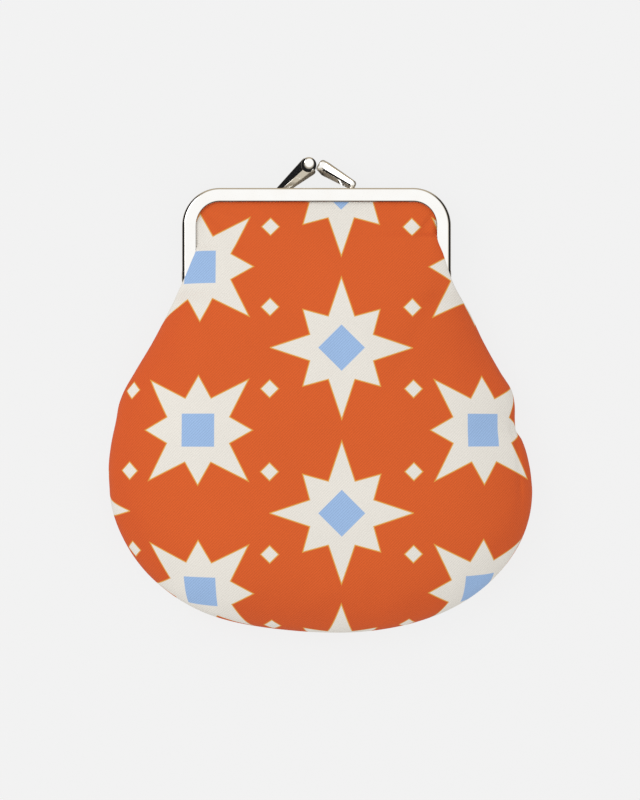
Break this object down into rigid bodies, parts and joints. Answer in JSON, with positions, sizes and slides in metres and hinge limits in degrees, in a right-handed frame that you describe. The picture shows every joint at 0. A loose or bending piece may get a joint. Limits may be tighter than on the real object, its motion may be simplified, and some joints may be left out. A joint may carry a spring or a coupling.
{
  "type": "kiss-clasp coin purse",
  "caption": "Pear-shaped padded cloth purse gripped in a two-half metal channel frame that turns on side rivets and shuts with a pair of tapered clasp levers.",
  "frame": {"origin": "on the table under the middle of the purse's bounding box, the purse lying on its back", "axes": "+Y from the bag's bottom towards the clasp, +Z from the back of the purse towards its front, X across"},
  "size_m": [0.1174, 0.1322, 0.0221],
  "materials": {
    "nickel": "polished nickel plate",
    "cotton": "cotton twill, orange with printed cream and blue rosettes",
    "lining": "plain cream cotton",
    "fleece": "fusible fleece",
    "paper": "twisted paper cord"
  },
  "bodies": {
    "back_half": {"back_frame": "nickel", "clasp_lever_left": "nickel", "hinge_rivet_left": "nickel", "hinge_rivet_right": "nickel", "back_paper_cord": "paper", "back_outer_cloth": "cotton", "back_lining": "lining", "back_padding": "fleece", "front_outer_cloth": "cotton", "front_lining": "lining", "front_padding": "fleece"},
    "front_half": {"front_frame": "nickel", "clasp_lever_right": "nickel", "front_paper_cord": "paper", "front_outer_cloth_yoke": "cotton", "front_lining_yoke": "lining"}
  },
  "joints": [
    {"name": "frame_hinge", "type": "hinge", "parent": "back_half", "child": "front_half", "pos_m": [0, 0.0332, 0.00675], "axis": [1, 0, 0], "range_deg": [0, 90]}
  ]
}
